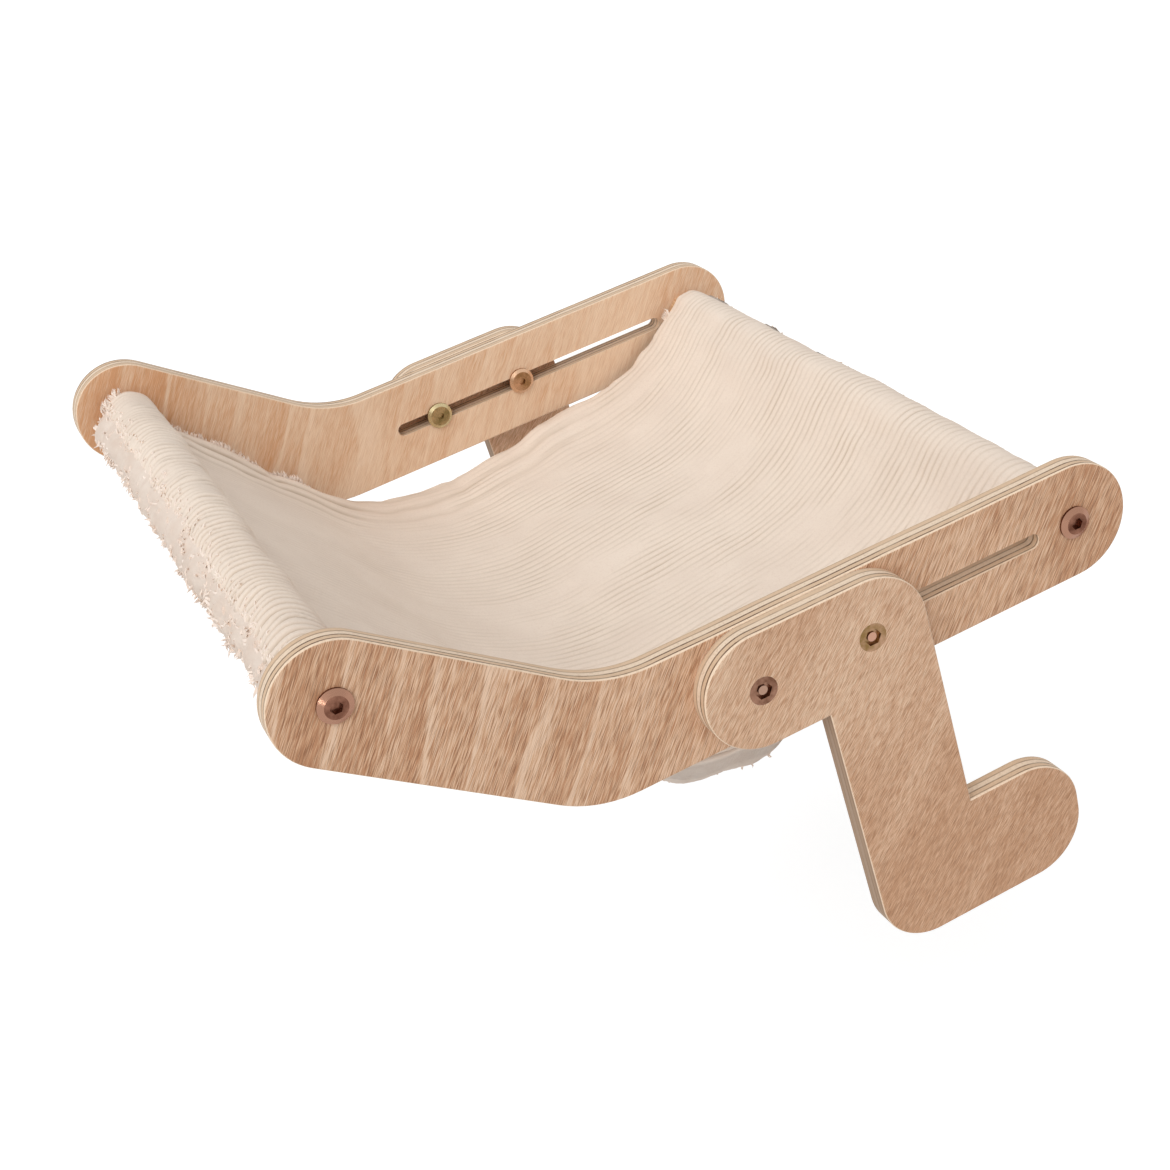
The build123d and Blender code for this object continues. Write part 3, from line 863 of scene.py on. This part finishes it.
fleece_y = np.linspace(-half_cloth, half_cloth, fleece_columns)
fleece_rows = even_rows(lining_path(1, 0, 0), fleece_row_count)
fleece_face = across(lining_path, 1, fleece_y, fleece_rows, fleece_near_rise)
lining_back = across(lining_path, 0, few_y, fleece_rows, cloth_near_rise)
fleece_run = run_length(at_rows(lining_path(1, 0, 0), fleece_rows))[:, None]
fleece_whole = fleece_run[-1, 0]
to_front_seam = fleece_whole - fleece_run
on_front_roll = 1 - ease(to_front_seam, 0.055, 0.085)

# Curls of two sizes on slow waves, taller on the front roll
big_curl, small_curl = 7.5 * MM, 3.4 * MM
curls = (0.8 + 1.3 * on_front_roll) * MM * tufts(fleece_run / big_curl, fleece_y / big_curl + 5, 11)
small_curls = tufts(fleece_run / small_curl + 9, fleece_y / small_curl, 12)
curls = curls + (0.5 + 0.5 * on_front_roll) * MM * small_curls
curls = curls + 1.5 * MM * smooth_noise(fleece_run / 0.020, fleece_y / 0.020, 13) - 0.9 * MM
curls = curls + 1.0 * MM * on_front_roll * (smooth_noise(fleece_run / 0.010, fleece_y / 0.012, 14) - 0.6)

# Both ends dive under the ribbed cloth's edges, the front one deeper and over a ragged width
front_dive, rear_dive = 7.0 * MM, 1.2 * MM
dive_width = 0.019 + 0.005 * smooth_noise(fleece_y[None, :] / 0.008, 0 * fleece_run, 15)
seam_drop = 1 - ease(to_front_seam, 0.0, dive_width)
curls = curls * (1 - seam_drop) - front_dive * seam_drop - rear_dive * (1 - ease(fleece_run, 0.0, 0.008))
fleece_normals = normals_of(fleece_face)
fleece_face = fleece_face + fleece_normals * curls[..., None]
fleece_hem = 6.0 * MM
fleece_face = rolled_rim(fleece_face, lining_back, fleece_hem, 0.7)

# Polyester plush: matt and warm white, a little uneven in tone, with fine curls as bump
plush, plush_shader = new_material("white_plush_pile")
plush_coords = node(plush, "TexCoord").outputs["Object"]
tone_size, curl_size = 0.012, 0.0022
plush_tone = node(plush, "TexNoise", {
    "Vector": plush_coords, "Scale": 1 / tone_size, "Detail": 3.0, "Roughness": 0.65,
})
plush_curl = node(plush, "TexNoise", {
    "Vector": plush_coords, "Scale": 1 / curl_size, "Detail": 3.0, "Roughness": 0.65, "Distortion": 1.2,
})
feed(plush, plush_shader, {
    "Base Color": node(plush, "ValToRGB", {"Fac": plush_tone}, stops=[
        (0.3, "#E5D2C3"), (0.7, "#EFE0D3"),
    ]),
    "Roughness": 0.95,
    "Specular IOR Level": 0.15,
    "Normal": node(plush, "Bump", {"Height": plush_curl, "Strength": 0.4, "Distance": 0.0006}),
})

fleece = closed_sheet("fleece", fleece_face, lining_back, plush, 0 * curls)
soften_shading(fleece, fleece_normals, 0.7)
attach(fleece, "frame")
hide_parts("fleece_lining")


# Fleece pile: the locks of the plush, painted paler than the ground they grow from, as painted light
# that offsets the shade on their own sides. Most lie flat on the curls; some stand up in clumps round
# the front roll and along the far edge, where they make the outline ragged. Locks within one lock
# patch share their tone and their lean.
lock_patch = 0.006
locks, locks_shader = new_material("white_plush_locks_painted_paler")
locks_tone = node(locks, "TexNoise", {
    "Vector": node(locks, "TexCoord").outputs["Object"], "Scale": 1 / lock_patch, "Detail": 2.0,
})
feed(locks, locks_shader, {
    "Base Color": node(locks, "ValToRGB", {"Fac": locks_tone}, stops=[
        (0.3, "#EDDCCF"), (0.7, "#F7EADF"),
    ]),
    "Roughness": 0.9,
    "Specular IOR Level": 0.1,
    "Normal": node(locks, "Bump", {"Height": locks_tone, "Strength": 0.2, "Distance": 0.0003}),
})


def pile(name, face, normals, rows, columns, lift, lean, length, width, seed):
    """Locks rooted at fractional rows and columns of a surface grid. Each is a three-sided spike
    through a root ring, a middle ring and a tip. It aims along the sum of the normal times the lift,
    its patch's noise, a share of its own random side and the lean, and bows to that side. Real hairs
    are too fine for the picture, so a lock stands for a bunch of them."""
    random = np.random.default_rng(seed)
    count = len(rows)
    r, c = rows.astype(int), columns.astype(int)
    fr, fc = (rows - r)[:, None], (columns - c)[:, None]

    def at(grid):
        near = grid[r, c] * (1 - fc) + grid[r, c + 1] * fc
        far = grid[r + 1, c] * (1 - fc) + grid[r + 1, c + 1] * fc
        return near * (1 - fr) + far * fr

    root = at(face)
    normal = unit(at(normals))
    side = unit(np.cross(normal, random.normal(size=(count, 3))))
    u, v = root[:, 0] / lock_patch + root[:, 2] / lock_patch, root[:, 1] / lock_patch
    lock = np.stack([smooth_noise(u, v, seed + k) for k in (1, 2, 3)], 1)
    lock = lock - normal * (lock * normal).sum(1, keepdims=True)
    aim = unit(normal * lift + lock + side * 0.4 + lean)
    size = length * random.uniform(0.6, 1.15, count)[:, None]
    thick = width * random.uniform(0.7, 1.2, count)[:, None]
    # The middle ring stands past half the length and a little aside, and the tip curls back
    middle = root + aim * size * 0.55 + side * size * 0.10
    tip = root + unit(aim + 0.3 * lock - side * 0.3) * size
    across_a = unit(np.cross(aim, normal + 0.3 * side + 1e-6))
    across_b = np.cross(aim, across_a)
    ring = [(np.cos(a), np.sin(a)) for a in np.radians([0, 120, 240])]
    # Rooted under the surface, so that no lock floats
    base = root - normal * 0.6 * MM
    points = [base + (across_a * ca + across_b * sa) * thick / 2 for ca, sa in ring]
    points += [middle + (across_a * ca + across_b * sa) * thick * 0.40 for ca, sa in ring]
    points.append(tip)
    vertices = np.stack(points, 1).reshape(-1, 3)
    pattern = np.array([
        (0, 1, 4), (0, 4, 3), (1, 2, 5), (1, 5, 4), (2, 0, 3), (2, 3, 5),
        (3, 4, 6), (4, 5, 6), (5, 3, 6), (0, 2, 1),
    ])
    faces = (pattern[None] + 7 * np.arange(count)[:, None, None]).reshape(-1, 3)
    piece = add_piece(name, vertices, faces.tolist(), locks, smooth=False)
    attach(piece, "frame")
    return piece


scatter = np.random.default_rng(21)


def clumps(rows, columns, size, spread, last_column):
    """Places of locks that stand in clumps: the given rows and columns of a grid, each repeated and
    moved by random distances of the given spread."""
    count = len(rows) * size
    rows = np.repeat(rows, size) + scatter.normal(0, spread, count)
    columns = np.repeat(columns, size) + scatter.normal(0, spread, count)
    return rows, columns.clip(0, last_column)


last_row, last_column = fleece_face.shape[0] - 1.01, fleece_face.shape[1] - 1.01
roll_start = float(np.searchsorted(fleece_run[:, 0], fleece_whole - 0.075))
roll_count, under_count, tuft_count, seam_count = 1400, 5000, 90, 700
roll_pile = pile(
    "front_roll_pile", fleece_face, fleece_normals, scatter.uniform(roll_start, last_row - 2, roll_count),
    scatter.uniform(0, last_column, roll_count), 0.14, np.array([0, 0, -0.2]), 4.4 * MM, 1.5 * MM, 31,
)
under_pile = pile(
    "underside_pile", fleece_face, fleece_normals, scatter.uniform(0, roll_start, under_count),
    scatter.uniform(3, last_column - 3, under_count), 0.16, np.array([0, 0, -0.1]), 2.8 * MM, 1.5 * MM, 41,
)
tuft_rows, tuft_columns = clumps(
    scatter.uniform(roll_start, last_row - 12, tuft_count),
    scatter.uniform(1, last_column - 1, tuft_count), 12, 0.8, last_column,
)
roll_tufts = pile(
    "front_roll_tufts", fleece_face, fleece_normals, tuft_rows.clip(roll_start, last_row), tuft_columns,
    0.6, np.array([0, 0, -0.2]), 4.0 * MM, 1.1 * MM, 51,
)

# Locks that lie over the front seam onto the ribbed cloth, thinning out away from it
seam_rows = scatter.exponential(1.1, seam_count).clip(0, 4)
seam_fluff = pile(
    "seam_fluff", upper_face, cloth_normals, seam_rows, scatter.uniform(0, len(cloth_y) - 1.01, seam_count),
    0.25, np.array([0.5, 0, 0.3]), 3.0 * MM, 1.1 * MM, 81,
)

# Tufts of the fleece that stick out past the ribbed cloth along the far edge: in clumps on the front
# slope, and a few round the far ends of the rolls
last_cloth_column = len(cloth_y) - 1.01
clump_rows = np.concatenate([
    np.searchsorted(along[:, 0], scatter.uniform(0.050, 0.150, 34)), scatter.uniform(0, 5, 8),
    len(cloth_rows) - scatter.uniform(12, 20, 2),
])
tuft_rows, tuft_columns = clumps(
    clump_rows, last_cloth_column - scatter.uniform(2, 4, len(clump_rows)), 12, 0.6, last_cloth_column,
)
edge_tufts = pile(
    "edge_tufts", upper_face, cloth_normals, tuft_rows.clip(0, len(cloth_rows) - 1.01), tuft_columns,
    0.5, np.array([0.1, 0.6, 1.0]), 4.4 * MM, 1.2 * MM, 91,
)


# Studio: a white floor well below the hammock and a white surround, which light it evenly, one very
# wide soft light from the upper left in front, so that shadows are faint, and a weak low one in
# front that glints on the screws. A light's angle is how wide it looks in the sky, in degrees.
def seen_rays(owner):
    """One on rays by which a surface is seen, straight, mirrored or through glass, and zero on rays
    by which it only lights others."""
    rays = node(owner, "LightPath")
    mirrored = node(owner, "Math", {
        0: rays.outputs["Is Camera Ray"], 1: rays.outputs["Is Glossy Ray"],
    }, operation="ADD")
    return node(owner, "Math", {
        0: mirrored, 1: rays.outputs["Is Transmission Ray"],
    }, operation="ADD", use_clamp=True)


floor_drop, floor_half, floor_glow = 0.35, 8.0, 0.41
floor_material = bpy.data.materials.new("white_floor")
floor_material.use_nodes = True
floor_material.node_tree.nodes.clear()
glow = node(floor_material, "Math", {0: seen_rays(floor_material), 1: floor_glow}, operation="MULTIPLY")
node(floor_material, "OutputMaterial", {
    "Surface": node(floor_material, "AddShader", {
        0: node(floor_material, "BsdfDiffuse", {"Color": linear("#E2E2E2")}),
        1: node(floor_material, "Emission", {"Strength": glow}),
    }),
})
floor_corners = [
    (x * floor_half, y * floor_half, cad_low.z - floor_drop)
    for x, y in ((-1, -1), (1, -1), (1, 1), (-1, 1))
]
floor = add_piece("floor", floor_corners, [(0, 1, 2, 3)], floor_material)
floor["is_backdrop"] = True

world = bpy.data.worlds.new("white_surround")
world.use_nodes = True
world.node_tree.nodes.clear()
surround_light, surround_seen = 0.64, 1.0
node(world, "OutputWorld", {"Surface": node(world, "Background", {
    "Color": (1, 1, 1, 1),
    "Strength": node(world, "MapRange", {
        "Value": seen_rays(world), "To Min": surround_light, "To Max": surround_seen,
    }),
})})
bpy.context.scene.world = world

for name, energy, angle, direction in (
    ("wide_soft_light", 1.29, 45, (-0.45, -0.45, 0.77)), ("low_front_light", 0.16, 5, (-0.54, -0.82, 0.16)),
):
    light_data = bpy.data.lights.new(name, "SUN")
    light_data.energy = energy
    light_data.angle = np.radians(angle)
    light = bpy.data.objects.new(name, light_data)
    light.rotation_euler = Vector(direction).to_track_quat("Z", "Y").to_euler()
    bpy.context.scene.collection.objects.link(light)

bpy.context.scene.view_settings.view_transform = "Standard"

low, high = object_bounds()
